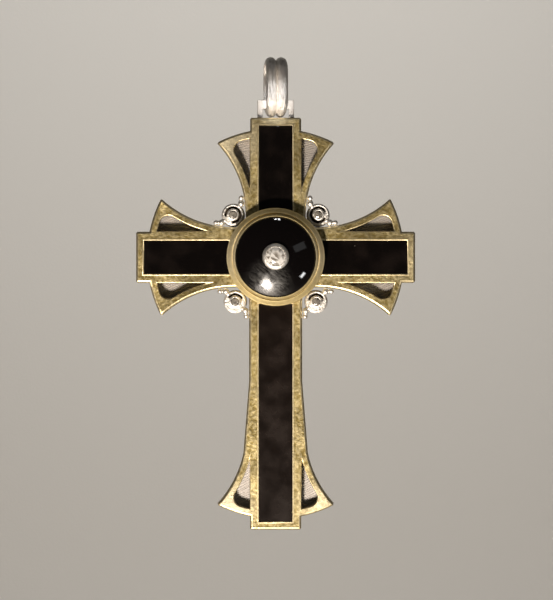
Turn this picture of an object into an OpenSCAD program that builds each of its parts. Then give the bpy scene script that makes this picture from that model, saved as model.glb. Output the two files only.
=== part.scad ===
// Pectoral cross with a loose bail, in millimetres. +Z is up and the front faces -Y.
// The origin is inside the crown of the bail, where a chain or ribbon carries it.
// Flat pieces are drawn as seen from the front, in an arm's own frame: X across the arm
// and Y outwards from the centre of the cross. Depths are measured forwards, against +Y,
// from the plane of the lug.

/* [Cross] */
// From the centre to the end of the top arm and of each side arm
arm_reach = 33.9; // [33:0.1:36]
// From the centre to the end of the foot
foot_reach = 66.2; // [60:0.1:75]
// Width of the straight frame round each stone slab
frame_w = 12.4; // [12:0.1:12.6]
// Width of the frame's long sides
frame_side = 2.1; // [1.8:0.1:2.4]
// Width of the frame's outer end
frame_end = 1.9; // [1.5:0.1:2.4]
// Half width of the foot's straight part, above its wings
foot_half = 6.45; // [6.3:0.05:6.5]
// From the centre to where the foot starts to widen
foot_taper_from = 30; // [20:1:35]
// From the centre to where the widening foot runs into the wing's curve
foot_taper_to = 47.6; // [46:0.1:50]

/* [Wings] */
// Radius of the flared end
wing_end_r = 31.3; // [31:0.1:31.8]
// Radius of the hollow side
wing_side_r = 26.3; // [26.3:0.1:26.8]
// Centre of the hollow side, across the arm
wing_side_across = 33.6; // [33.2:0.1:33.6]
// Centre of the hollow side, along the arm
wing_side_along = 10; // [9.8:0.1:10.5]
// Width of the rail between the piercing and the hollow side
wing_rail = 1.8; // [1.5:0.1:2.1]
// Width of the rail between the piercing and the flared end
wing_end_rail = 1.85; // [1.5:0.05:2.2]
// Distance from the arm's middle to the piercing
piercing_from = 6.3; // [6.2:0.05:6.6]
// Radius of the piercing's round corner
piercing_corner_r = 2.2; // [1.8:0.1:2.4]

/* [Layers] */
// How far the gold face stands in front of the lug's middle plane
face_forward = 2.0; // [1.9:0.1:2.4]
// Thickness of the gold face
face_t = 1.3; // [1:0.1:1.3]
// From the front of the gold face to the silver back plate
case_depth = 3.05; // [2.8:0.05:3.4]
// Thickness of the silver back plate
plate_t = 1.1; // [0.8:0.1:1.5]
// Thickness of the case's outer wall
case_wall = 0.9; // [0.7:0.1:1.1]
// Thickness of the walls that hold the slabs
channel_wall = 1.0; // [0.8:0.1:1.2]
// How far the slabs lie below the gold face
slab_recess = 0.3; // [0.1:0.1:0.5]

/* [Centre] */
// Outer radius of the bezel
bezel_r = 11.85; // [11.8:0.05:11.95]
// Height of the bezel above the gold face
bezel_h = 4.6; // [4:0.1:5]
// Radius of the cabochon
dome_r = 9.9; // [9.8:0.05:10]
// Height of the cabochon's crown above the bezel's lip
dome_crown = 2.2; // [2:0.1:3]
// Outer radius of the centre setting
boss_r = 3.2; // [3.1:0.05:3.4]
// Radius of the centre diamond
centre_stone_r = 2.35; // [2.2:0.05:2.4]

/* [Corner settings] */
// Outer radius of a corner setting
corner_r = 2.65; // [2.6:0.01:2.65]
// Radius of a corner diamond
corner_stone_r = 1.1; // [1:0.05:1.15]
// Radius of the larger granules
big_grain_r = 0.8; // [0.78:0.01:0.82]
// Radius of the smaller granules
small_grain_r = 0.62; // [0.6:0.01:0.64]

/* [Bail and lug] */
// Inner radius of the bail's round ends
bail_inner_r = 2.5; // [2.5:0.1:3]
// Length of the bail's straight legs
bail_leg = 6.1; // [4:0.1:9]
// Thickness of the bail at the crest of its ridges
bail_wall = 1.8; // [1.7:0.1:2]
// Width of the bail at its crown
bail_w = 5.4; // [5:0.1:5.4]
// Width of the bail in the lug's slot
bail_foot_w = 4.6; // [4.2:0.1:4.8]
// How far the loose bail has turned about the vertical
bail_turn = 7; // [0:1:7]
// Width of the lug
lug_w = 8.9; // [8.8:0.1:10]
// Thickness of the lug
lug_t = 1.1; // [0.9:0.1:1.2]
// Half width of the slot that the bail passes through
slot_half = 3.2; // [3.1:0.05:3.3]

/* [Hidden] */
$fn = 96;

// Gap between neighbouring pieces
gap = 0.05;
// How far a cutting shape runs past what it cuts
past = 1;

bail_outer_r = bail_inner_r + bail_wall;
// Clearance between the bail and the case below it
bail_clear = 0.2;
// The cross swings about the middle of the bail's lower bend
hinge_z = -(bail_inner_r + bail_leg);
hinge_reach = arm_reach + bail_clear + bail_outer_r;
centre_z = hinge_z - hinge_reach;
// The lug's bar lies inside the bail's lower bend, from this far below the hinge's axis
bar_below_hinge = bail_inner_r - 0.25;

flare = foot_reach - arm_reach;
frame_half = frame_w / 2;
slot_w = frame_w - 2 * frame_side;
frame_chamfer = 0.35;
slab_from = 11.3;
cavity_from = 13;
cavity_across = slot_w / 2 + channel_wall;

// Depths, forwards from the lug's middle plane
face_back = face_forward - face_t;
case_back = face_forward - case_depth;
plate_front = case_back - gap;
plate_back = plate_front - plate_t;
slab_front = face_forward - slab_recess;
bezel_top = face_forward + bezel_h;
// The cabochon stands on a seat inside the bezel, this far above the gold face
dome_seat_h = 1.0;
dome_base = face_forward + dome_seat_h;
dome_top = bezel_top + dome_crown;
// The cabochon's edge is bevelled to pass under the bezel's lip
lip_bevel = 0.6;
dome_girdle = bezel_top - lip_bevel - 0.1;
dome_bevel = 0.45;
// Radius at which the cabochon's surface comes out from under the lip
lip_clear_r = 9.5;
crown_drop = dome_crown + 0.1;
dome_sphere_r = (pow(lip_clear_r, 2) + pow(crown_drop, 2)) / (2 * crown_drop);
// The centre setting's peg, the depth of its collet in the cabochon, and its stone's height
peg_r = 1.5;
seat_depth = 0.9;
centre_girdle = dome_top + 0.75;
// A corner setting's tube and wire, and its stone's height
tube_r = 1.65;
wire_r = 0.36;
corner_girdle = face_forward + 0.7;
corner_base_top = corner_girdle - 1.0;

// Proportions of the cut stones
girdle_share = 0.06;
pavilion_angle = 41;

// The four arms: the turn from the top arm, the reach, and how far out the wing is set
ARM_TURN = 0;
ARM_REACH = 1;
ARM_FLARE = 2;
TOP = [0, arm_reach, 0];
LEFT = [90, arm_reach, 0];
FOOT = [180, foot_reach, flare];
RIGHT = [270, arm_reach, 0];
ARMS = [TOP, LEFT, FOOT, RIGHT];

// Corner settings seen from the front, right-hand side only: the setting's centre, then the
// larger and the smaller granule beside the upright arm, then the two beside the side arm
CENTRE = 0;
UPRIGHT_BIG = 1;
UPRIGHT_SMALL = 2;
SIDE_BIG = 3;
SIDE_SMALL = 4;
UPPER_CORNER = [[10.35, 10.3], [8.38, 13.01], [8.35, 14.37], [13.1, 8.38], [14.46, 8.37]];
LOWER_CORNER = [[9.85, -10.8], [7.35, -13.03], [7.17, -14.38], [12.12, -8.34], [13.48, -8.3]];

// The bezel's stepped front from its outer edge to its lip: in from the edge, down from the crest
STEP_IN = 0;
STEP_DOWN = 1;
BEZEL_STEPS = [
  [0, 1.3],
  [0.15, 1.0],
  [0.3, 0.9],
  [0.6, 0.85],
  [1.35, 0.45],
  [1.45, 0.6],
  [1.55, 0.35],
  [1.95, 0.05],
  [2.05, 0],
  [2.15, 0.12]
];

// Where the hollow side lies, across the arm, at a distance along it
function side_across(along, start) =
  wing_side_across - sqrt(pow(wing_side_r, 2) - pow(along - start - wing_side_along, 2));

// The nearer to the arm's middle of the two points at distance a from the origin and b from p
function meet(a, b, p) =
  let (
    d = norm(p),
    t = (a * a - b * b + d * d) / (2 * d),
    h = sqrt(a * a - t * t)
  )
  [p[0] * t - p[1] * h, p[1] * t + p[0] * h] / d;

// A flat shape between two depths
module layer(front, back) {
  translate([0, -back, 0])
    rotate([90, 0, 0])
      linear_extrude(front - back)
        children();
}

// The same shape in the cross's own place
module in_cross(front, back) {
  translate([0, 0, centre_z])
    layer(front, back)
      children();
}

// A turned piece: its profile is radius against depth, and at says where its axis is
module turned(at = [0, 0]) {
  translate([at[0], 0, centre_z + at[1]])
    rotate([90, 0, 0])
      rotate_extrude()
        children();
}

module both_sides() {
  for (side = [0, 1]) {
    mirror([side, 0, 0])
      children();
  }
}

// The straight frame of one arm, from the centre to its end
module frame_shape(reach) {
  polygon([
    [-frame_half, 0],
    [frame_half, 0],
    [frame_half, reach - frame_chamfer],
    [frame_half - frame_chamfer, reach],
    [-frame_half + frame_chamfer, reach],
    [-frame_half, reach - frame_chamfer]
  ]);
}

// Between the arm's middle and the hollow side, inside the flared end
module flared_region(start, across_from, along_from, inset, end_inset) {
  difference() {
    intersection() {
      translate([0, start])
        circle(r = wing_end_r - end_inset);
      translate([across_from, along_from])
        square([wing_side_r, wing_end_r + start]);
    }
    translate([wing_side_across, start + wing_side_along])
      circle(r = wing_side_r + inset);
  }
}

module wing_shape(start) {
  along_from = start > 0 ? start + wing_side_along : 0;
  flared_region(start, 0, along_from, 0, 0);
}

// The foot above its wings: straight, then a little wider down to the wings' hollow sides
module foot_taper() {
  slope = (side_across(foot_taper_to, flare) - foot_half) / (foot_taper_to - foot_taper_from);
  // The shape runs on a little, inside the wings
  taper_end = foot_taper_to + 2;
  end_half = foot_half + slope * (taper_end - foot_taper_from);
  polygon([
    [-foot_half, 0],
    [foot_half, 0],
    [foot_half, foot_taper_from],
    [end_half, taper_end],
    [-end_half, taper_end],
    [-foot_half, foot_taper_from]
  ]);
}

module outline() {
  circle(r = bezel_r);
  for (arm = ARMS) {
    rotate(arm[ARM_TURN]) {
      frame_shape(arm[ARM_REACH]);
      both_sides()
        wing_shape(arm[ARM_FLARE]);
    }
  }
  rotate(FOOT[ARM_TURN])
    foot_taper();
}

// The drop-shaped piercing of one wing, sharp towards the centre and round at its outer corner
module piercing_shape(start) {
  side_r = wing_side_r + wing_rail;
  end_r = wing_end_r - wing_end_rail;
  side_centre = [wing_side_across, wing_side_along];
  corner = meet(end_r - piercing_corner_r, side_r + piercing_corner_r, side_centre);
  to_side = (side_centre - corner) / norm(side_centre - corner);
  to_end = corner / norm(corner);
  reach = 3 * piercing_corner_r;
  difference() {
    flared_region(start, piercing_from, start + wing_side_along, wing_rail, wing_end_rail);
    translate([0, start]) {
      difference() {
        polygon([
          corner,
          corner + reach * to_side,
          corner + reach * (to_side + to_end),
          corner + reach * to_end
        ]);
        translate(corner)
          circle(r = piercing_corner_r);
      }
    }
  }
}

module slot_shape(reach) {
  translate([-slot_w / 2, slab_from])
    square([slot_w, reach - frame_end - slab_from]);
}

module cavity_shape(start) {
  flared_region(start, cavity_across, start + cavity_from, case_wall, case_wall);
}

module for_arms() {
  for (arm = ARMS) {
    $reach = arm[ARM_REACH];
    $start = arm[ARM_FLARE];
    rotate(arm[ARM_TURN])
      children();
  }
}

// The gold case: a pierced face with side walls and channels for the slabs
module gold_frame() {
  color("goldenrod")
    difference() {
      in_cross(face_forward, case_back)
        outline();
      in_cross(face_forward + past, case_back - past)
        for_arms()
          slot_shape($reach);
      in_cross(face_forward + past, face_back - past)
        for_arms()
          both_sides()
            piercing_shape($start);
      in_cross(face_back, case_back - past)
        for_arms()
          both_sides()
            cavity_shape($start);
      in_cross(face_back, case_back - past)
        circle(r = slab_from - channel_wall);
      in_cross(face_forward + past, case_back - past)
        circle(r = peg_r + gap);
      lug_root(gap);
    }
}

// The lug's root lies in a notch in the top arm's outer wall
module lug_root(extra) {
  root_h = 1.4;
  in_cross(lug_t / 2 + extra, plate_front - extra)
    translate([-lug_w / 2 - extra, arm_reach - root_h - extra])
      square([lug_w + 2 * extra, root_h + 2 * extra]);
}

// The silver back plate, with lobes under the corner settings and the lug above the top arm
module back_plate() {
  lobe_margin = 0.2;
  lug_overlap = 0.5;
  lug_foot = arm_reach - lug_overlap;
  lug_top = hinge_reach - 2 * gap;
  bar_from = hinge_reach - bar_below_hinge;
  color("silver") {
    difference() {
      union() {
        in_cross(plate_front, plate_back) {
          outline();
          for (corner = [UPPER_CORNER, LOWER_CORNER]) {
            both_sides()
              translate(corner[CENTRE])
                circle(r = corner_r + lobe_margin);
          }
        }
        lug_root(0);
        in_cross(lug_t / 2, -lug_t / 2)
          translate([-lug_w / 2, lug_foot])
            square([lug_w, lug_top - lug_foot]);
      }
      in_cross(lug_t / 2 + past, -lug_t / 2 - past)
        translate([-slot_half, arm_reach])
          square([2 * slot_half, bar_from - arm_reach]);
    }
  }
}

// A polished slab of black onyx in the channel of one arm
module slab(arm) {
  rotate([0, -arm[ARM_TURN], 0]) {
    layer(slab_front, plate_front + 2 * gap)
      translate([-slot_w / 2 + gap, slab_from + gap])
        square([slot_w - 2 * gap, arm[ARM_REACH] - frame_end - slab_from - 2 * gap]);
  }
}

module onyx(arm) {
  color("#141210")
    translate([0, 0, centre_z])
      slab(arm);
}

module top_onyx() {
  onyx(TOP);
}

module left_onyx() {
  onyx(LEFT);
}

module right_onyx() {
  onyx(RIGHT);
}

module foot_onyx() {
  onyx(FOOT);
}

// The stepped bezel: a narrow edge, a sloping band, a groove, an inner band and a thin lip
module bezel() {
  base = face_forward + gap;
  seat_r = dome_r + gap;
  seat_w = 1.0;
  color("goldenrod")
    turned()
      polygon(concat(
        [[seat_r - seat_w, base], [bezel_r, base]],
        [for (step = BEZEL_STEPS) [bezel_r - step[STEP_IN], bezel_top - step[STEP_DOWN]]],
        [
          [seat_r, bezel_top - lip_bevel],
          [seat_r, dome_base - gap],
          [seat_r - seat_w, dome_base - gap]
        ]
      ));
}

// The cabochon, drilled for the peg of the centre setting and counterbored for its collet
module onyx_dome() {
  color("#0e0c0b")
    difference() {
      intersection() {
        translate([0, dome_sphere_r - dome_top, centre_z])
          rotate([90, 0, 0])
            sphere(r = dome_sphere_r);
        turned()
          polygon([
            [0, dome_base],
            [dome_r, dome_base],
            [dome_r, dome_girdle],
            [lip_clear_r, dome_girdle + dome_bevel],
            [lip_clear_r, dome_top + past],
            [0, dome_top + past]
          ]);
      }
      in_cross(dome_top + past, dome_top - seat_depth)
        circle(r = boss_r + gap);
      in_cross(dome_top, dome_base - past)
        circle(r = peg_r + gap);
    }
}

// The mouth of a tube setting: a straight pocket for the girdle, a sloping seat and a bore
// that ends below the tip of the stone
module stone_pocket(girdle, stone_r) {
  mouth = stone_r + gap;
  bore = 0.4 * stone_r;
  stone_edge = girdle - girdle_share * stone_r;
  seat = stone_edge - 2 * gap;
  seat_end = seat - (mouth - bore) * tan(pavilion_angle);
  bore_end = stone_edge - stone_r * tan(pavilion_angle) - 3 * gap;
  polygon([
    [-past, girdle + stone_r],
    [mouth, girdle + stone_r],
    [mouth, seat],
    [bore, seat_end],
    [bore, bore_end],
    [-past, bore_end]
  ]);
}

// Half the profile of a tube setting with a rounded rim. Its children are the metal below
// and round the tube, and the pocket for the stone is cut through them too.
module collet_profile(base, outer_r, girdle, stone_r) {
  rim = (outer_r - stone_r - gap) / 2;
  difference() {
    union() {
      translate([0, base])
        square([outer_r, girdle - base]);
      translate([outer_r - rim, girdle])
        circle(r = rim);
      children();
    }
    stone_pocket(girdle, stone_r);
  }
}

// The silver collet of the centre diamond, with a peg through the cabochon
module centre_setting() {
  color("gainsboro")
    turned()
      collet_profile(dome_top - seat_depth + gap, boss_r, centre_girdle, centre_stone_r)
        translate([0, case_back])
          square([peg_r, dome_top - seat_depth + 2 * gap - case_back]);
}

// A corner setting: a base, an outer wire, a tube for the stone and four granules
module corner_setting(corner, side) {
  color("gainsboro")
    mirror([side, 0, 0]) {
      turned(corner[CENTRE])
        collet_profile(case_back, tube_r, corner_girdle, corner_stone_r) {
          translate([0, case_back])
            square([corner_r, corner_base_top - case_back]);
          translate([corner_r - wire_r, corner_base_top])
            circle(r = wire_r);
        }
      for (at = [corner[UPRIGHT_BIG], corner[SIDE_BIG]])
        grain(at, big_grain_r, corner_base_top);
      for (at = [corner[UPRIGHT_SMALL], corner[SIDE_SMALL]])
        grain(at, small_grain_r, corner_base_top);
    }
}

module grain(at, r, depth) {
  translate([at[0], -depth, centre_z + at[1]])
    sphere(r = r);
}

// A round brilliant: table, crown, thin girdle and pavilion, worked out from its radius
function ring(r, z, turn) = [for (k = [0:7]) [r * cos(45 * k + turn), r * sin(45 * k + turn), z]];

module brilliant(r) {
  table_r = 0.56;
  crown_h = (1 - table_r) * tan(34.5);
  star_r = 0.78;
  star_h = crown_h * (1 - (star_r * cos(22.5) - table_r) / (1 - table_r));
  girdle_t = girdle_share;
  depth = tan(pavilion_angle);
  lower_r = 0.25;
  lower_h = -girdle_t - depth * (1 - lower_r * cos(22.5));
  points = concat(
    ring(table_r, crown_h, 0),
    ring(star_r, star_h, 22.5),
    ring(1, 0, 0),
    ring(1, 0, 22.5),
    ring(1, -girdle_t, 0),
    ring(1, -girdle_t, 22.5),
    ring(lower_r, lower_h, 22.5),
    [[0, 0, -girdle_t - depth]]
  );
  table = 0;
  star = 8;
  top_main = 16;
  top_half = 24;
  low_main = 32;
  low_half = 40;
  lower = 48;
  culet = 56;
  faces = concat(
    [[for (k = [7:-1:0]) table + k]],
    [for (k = [0:7]) let (n = (k + 1) % 8) [table + k, table + n, star + k]],
    [for (k = [0:7]) let (b = (k + 7) % 8) [table + k, star + k, top_main + k, star + b]],
    [for (k = [0:7]) [star + k, top_half + k, top_main + k]],
    [for (k = [0:7]) let (n = (k + 1) % 8) [star + k, top_main + n, top_half + k]],
    [for (k = [0:7]) [top_main + k, top_half + k, low_half + k, low_main + k]],
    [for (k = [0:7]) let (n = (k + 1) % 8)
      [top_half + k, top_main + n, low_main + n, low_half + k]],
    [for (k = [0:7]) [low_main + k, low_half + k, lower + k]],
    [for (k = [0:7]) let (n = (k + 1) % 8) [low_half + k, low_main + n, lower + k]],
    [for (k = [0:7]) let (b = (k + 7) % 8) [low_main + k, lower + k, culet, lower + b]]
  );
  scale(r)
    polyhedron(points, faces);
}

module diamond(at, girdle, r) {
  color("white")
    translate([at[0], -girdle, centre_z + at[1]])
      rotate([90, 0, 0])
        brilliant(r);
}

module centre_diamond() {
  diamond([0, 0], centre_girdle, centre_stone_r);
}

module corner_diamond(corner, side) {
  mirror([side, 0, 0])
    diamond(corner[CENTRE], corner_girdle, corner_stone_r);
}

module corner_setting_top_left() {
  corner_setting(UPPER_CORNER, 1);
}

module corner_setting_top_right() {
  corner_setting(UPPER_CORNER, 0);
}

module corner_setting_foot_left() {
  corner_setting(LOWER_CORNER, 1);
}

module corner_setting_foot_right() {
  corner_setting(LOWER_CORNER, 0);
}

module corner_diamond_top_left() {
  corner_diamond(UPPER_CORNER, 1);
}

module corner_diamond_top_right() {
  corner_diamond(UPPER_CORNER, 0);
}

module corner_diamond_foot_left() {
  corner_diamond(LOWER_CORNER, 1);
}

module corner_diamond_foot_right() {
  corner_diamond(LOWER_CORNER, 0);
}

// The bail's section: flat inside, with two round ridges outside. X is the radius.
module bail_section() {
  ridge_r = 1.4;
  base_t = 0.5;
  base_inset = 0.2;
  intersection() {
    union() {
      for (side = [-1, 1]) {
        translate([bail_outer_r - ridge_r, side * (bail_w / 2 - ridge_r)])
          circle(r = ridge_r);
      }
      translate([bail_inner_r, -bail_w / 2 + base_inset])
        square([base_t, bail_w - 2 * base_inset]);
    }
    translate([bail_inner_r, -bail_w])
      square([bail_wall + past, 2 * bail_w]);
  }
}

// A round end of the bail: half a turn of its section about the X axis
module bail_bend(top) {
  rotate([90, 0, 90])
    rotate([0, 0, top ? 0 : 180])
      rotate_extrude(angle = 180)
        bail_section();
}

// The bail is a long loop, a little narrower at its foot, that stands turned in the lug
module bail() {
  crown_z = -bail_inner_r;
  color("silver")
    rotate([0, 0, bail_turn])
      intersection() {
        union() {
          translate([0, 0, crown_z])
            bail_bend(true);
          translate([0, 0, hinge_z])
            bail_bend(false);
          for (side = [-90, 90]) {
            translate([0, 0, hinge_z])
              rotate([0, 0, side])
                linear_extrude(bail_leg)
                  bail_section();
          }
        }
        layer(bail_outer_r + past, -bail_outer_r - past)
          polygon([
            [-bail_foot_w / 2, hinge_z - bail_outer_r - past],
            [bail_foot_w / 2, hinge_z - bail_outer_r - past],
            [bail_w / 2 + past, crown_z + bail_outer_r + past],
            [-bail_w / 2 - past, crown_z + bail_outer_r + past]
          ]);
      }
}

back_plate();
gold_frame();
top_onyx();
left_onyx();
right_onyx();
foot_onyx();
bezel();
onyx_dome();
centre_setting();
centre_diamond();
corner_setting_top_left();
corner_setting_top_right();
corner_setting_foot_left();
corner_setting_foot_right();
corner_diamond_top_left();
corner_diamond_top_right();
corner_diamond_foot_left();
corner_diamond_foot_right();
bail();
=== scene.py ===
# %% [markdown]
# # Dressing a pectoral cross
#
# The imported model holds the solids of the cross: a pierced gold case over a silver back
# plate, four slabs of black onyx, a domed onyx in a stepped bezel with a diamond on it, a
# small diamond setting in each corner, and a loose bail. This script gives each one the
# surface of the real thing. The front faces -Y, +Z is up, and the origin is inside the
# bail. Blender works in metres, so a size in millimetres is multiplied by MM.

import math
import random

import bmesh
import bpy
from mathutils import Matrix, Vector, noise
from mathutils.bvhtree import BVHTree


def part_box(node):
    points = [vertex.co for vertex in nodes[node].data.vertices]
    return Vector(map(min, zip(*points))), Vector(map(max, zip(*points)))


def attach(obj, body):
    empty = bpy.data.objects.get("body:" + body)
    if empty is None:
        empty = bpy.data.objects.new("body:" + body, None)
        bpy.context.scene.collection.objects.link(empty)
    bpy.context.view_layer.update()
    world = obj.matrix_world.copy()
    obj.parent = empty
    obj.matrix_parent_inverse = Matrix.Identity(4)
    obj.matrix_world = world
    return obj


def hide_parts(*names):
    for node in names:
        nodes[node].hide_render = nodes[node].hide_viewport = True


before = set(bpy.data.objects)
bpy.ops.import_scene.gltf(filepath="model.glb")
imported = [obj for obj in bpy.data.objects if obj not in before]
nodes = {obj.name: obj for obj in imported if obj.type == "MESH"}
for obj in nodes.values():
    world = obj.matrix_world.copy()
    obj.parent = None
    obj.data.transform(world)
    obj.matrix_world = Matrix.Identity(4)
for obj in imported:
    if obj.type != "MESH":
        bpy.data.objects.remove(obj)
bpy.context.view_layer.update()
MM = 0.001

# %% [markdown]
# ## Measuring before making
#
# What lies against a solid is placed by measuring that solid. The bezel is round, so the
# middle of its box is the centre of the cross, and the depth of each layer is the front of
# the piece that ends there. Depths count forwards from the plane of the lug, so a depth of
# 2 mm is y = -2 mm. Neighbouring solids are a hair apart, which stands for solder, glue or
# a pressed edge.

# %% The centre of the cross and the depths of its layers
GAP = 0.05
DOME_CROWN = 2.2
bezel_low, bezel_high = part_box("bezel")
CENTRE = Vector(((bezel_low.x + bezel_high.x) / 2, 0, (bezel_low.z + bezel_high.z) / 2))
FACE = -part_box("gold_frame")[0].y
BEZEL_TOP = -bezel_low.y
PLATE_FRONT = -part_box("gold_frame")[1].y - GAP * MM
DOME_TOP = BEZEL_TOP + DOME_CROWN * MM


def at(across, depth, up):
    """A point given in millimetres from the centre of the cross, and its depth in metres."""
    return Vector((CENTRE.x + across * MM, -depth, CENTRE.z + up * MM))


print("centre", [round(c / MM, 2) for c in CENTRE], "face", round(FACE / MM, 2))

# %% [markdown]
# ## Tools for materials
#
# Colours are given as sRGB hex values, but a shader works on linear light, so one
# function converts them. A second function adds a node, sets it up and links it, which
# keeps each material below as short as its recipe. Every material starts from the place
# on the piece in millimetres, so that its patterns can be given in real sizes.

# %% Hex colours


def linear(hex_colour):
    """An sRGB hex colour as linear red, green, blue and alpha."""
    parts = [int(hex_colour[k:k + 2], 16) / 255 for k in (1, 3, 5)]
    return [p / 12.92 if p <= 0.04045 else ((p + 0.055) / 1.055) ** 2.4 for p in parts] + [1.0]


# %% Nodes
# A Mix node has sockets for each kind of value. These are the ones that mix two colours.
SHARE, FIRST, SECOND, MIXED = 0, 6, 7, 2
# Nearly all of a noise's values lie between these two
LOW, HIGH = 0.3, 0.7


def add(tree, kind, inputs=None, **settings):
    """Adds a node. inputs maps an input's name or number to a value, a socket or a node."""
    made = tree.nodes.new(kind)
    for name, value in settings.items():
        setattr(made, name, value)
    for key, value in (inputs or {}).items():
        if isinstance(value, bpy.types.Node):
            value = value.outputs[0]
        if isinstance(value, bpy.types.NodeSocket):
            tree.links.new(value, made.inputs[key])
        else:
            made.inputs[key].default_value = value
    return made


# %% The start and the end of every material


def start(name):
    """A new material with an empty node tree, and the place on the piece in millimetres."""
    material = bpy.data.materials.new(name)
    material.use_nodes = True
    tree = material.node_tree
    tree.nodes.clear()
    place = add(tree, "ShaderNodeTexCoord").outputs["Object"]
    in_mm = add(tree, "ShaderNodeVectorMath", {0: place, "Scale": 1 / MM}, operation="SCALE")
    return material, tree, in_mm


def end(material, tree, **inputs):
    """Closes a material with one principled shader. Underscores stand for spaces."""
    inputs = {name.replace("_", " "): value for name, value in inputs.items()}
    shader = add(tree, "ShaderNodeBsdfPrincipled", inputs)
    add(tree, "ShaderNodeOutputMaterial", {"Surface": shader})
    print("material", material.name, len(tree.nodes), "nodes")
    return material


# %% [markdown]
# ## Strokes left by hand
#
# Most of this cross was finished by rubbing: short strokes of an abrasive stick whose
# direction changes every few millimetres. Noise stretched along one direction gives one
# set of strokes. Turning the noise by a random angle in each cell of a Voronoi pattern
# gives patches of strokes that cross, as a hand leaves them.

# %% Patches of rubbed strokes


def strokes(tree, place, patch, across, along):
    """Strokes of a width and length in millimetres, turned at random from patch to patch."""
    cells = add(tree, "ShaderNodeTexVoronoi", {"Vector": place, "Scale": 1 / patch})
    angle = add(tree, "ShaderNodeMath", {0: cells.outputs["Color"], 1: 2 * math.pi},
                operation="MULTIPLY")
    turned = add(tree, "ShaderNodeVectorRotate", {"Vector": place, "Angle": angle},
                 rotation_type="Y_AXIS")
    stretched = add(tree, "ShaderNodeVectorMath",
                    {0: turned, 1: (1 / along, 1 / across, 1 / across)}, operation="MULTIPLY")
    return add(tree, "ShaderNodeTexNoise", {"Vector": stretched, "Scale": 1.0, "Detail": 3.0})


# %% [markdown]
# ## Painted light and shade in soft spots
#
# Some broad areas of the gold are painted paler, as painted light, and others browner and
# duller, as painted shade. Such a place has no edge: it fades out over about a centimetre. So
# each is given by where it lies, how far it reaches and how strong it is in its middle,
# and where spots overlap the stronger one counts.

# %% How far a point is from a place, and how much painted light and shade it gets
# The share of a spot's reach that has its full strength
SPOT_CORE = 0.2


def front_distance(tree, place, across, up):
    """How far a point is from a place on the front, as seen from there, in millimetres."""
    flat = add(tree, "ShaderNodeVectorMath", {0: place, 1: (1.0, 0.0, 1.0)}, operation="MULTIPLY")
    middle = (CENTRE.x / MM + across, 0.0, CENTRE.z / MM + up)
    away = add(tree, "ShaderNodeVectorMath", {0: flat, 1: middle}, operation="DISTANCE")
    return away.outputs["Value"]


def soft_spots(tree, place, spots):
    """How strongly soft spots on the front act on a point, from 0 to 1."""
    strength = 0.0
    for across, up, reach, most in spots:
        near = add(tree, "ShaderNodeMapRange",
                   {"Value": front_distance(tree, place, across, up),
                    "From Min": SPOT_CORE * reach, "From Max": reach,
                    "To Min": most, "To Max": 0.0}, interpolation_type="SMOOTHSTEP")
        strength = add(tree, "ShaderNodeMath", {0: strength, 1: near}, operation="MAXIMUM")
    return strength


def worn(tree, place, colour, handled, tarnished):
    """A gold's colour with painted light in some spots and painted shade in others."""
    # Painted light: the colour drawn towards a pale cream
    pale = add(tree, "ShaderNodeMix",
               {SHARE: soft_spots(tree, place, handled), FIRST: colour.outputs[MIXED],
                SECOND: linear("#FFF6DC")}, data_type="RGBA")
    # Painted shade: the colour drawn towards a dull brown
    dull = add(tree, "ShaderNodeMix",
               {SHARE: soft_spots(tree, place, tarnished), FIRST: pale.outputs[MIXED],
                SECOND: linear("#5F522E")}, data_type="RGBA")
    return dull.outputs[MIXED]


# %% [markdown]
# ## The case: gold rubbed matt
#
# The case is 18 carat gold, cut from sheet and rubbed matt with an abrasive stick. That
# leaves a soft, slightly olive yellow with small pits and fine crossing strokes, on faces
# that are never quite flat: they wave by a degree or two, which makes broad lighter and
# darker areas. A metal's colour is its base colour, and its roughness is what the strokes
# make. The strokes are really about 0.02 mm wide. They are drawn ten times as wide, because
# finer ones would not show. Broad areas are painted as well. The tips of the foot's wings, the
# top arm's left wing and the ends of the top and right arms are paler, as painted light.
# The top arm's right wing and the side arms near the centre are darker, as painted shade.

# %% Rubbed gold
# Soft spots: across and up from the centre, reach in millimetres, and strength
# The first list is painted light on broad areas of the case, the second painted shade
CASE_HANDLED = [(-11.0, 29.0, 11.0, 0.45), (-12.5, -61.0, 10.0, 0.55),
                (12.5, -60.0, 10.0, 0.35), (32.0, 0.0, 9.0, 0.2), (0.0, 33.5, 6.0, 0.4)]
CASE_TARNISHED = [(12.0, 28.0, 10.0, 0.6), (21.0, 6.0, 11.0, 0.45), (-20.0, 6.0, 9.0, 0.25),
                  (-20.0, -6.0, 9.0, 0.4)]
PIT_SIZE, PIT_DEPTH = 0.75, 0.11 * MM
STROKE_PATCH, STROKE_WIDTH, STROKE_LENGTH, STROKE_DEPTH = 1.9, 0.2, 1.3, 0.065 * MM
# The waves come from a part of the noise whose light and dark areas lie as in the photograph
WAVE_SIZE, WAVE_DEPTH, WAVES_FROM = 11, 1.3 * MM, (-74.0, -8.0, 82.0)


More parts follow.
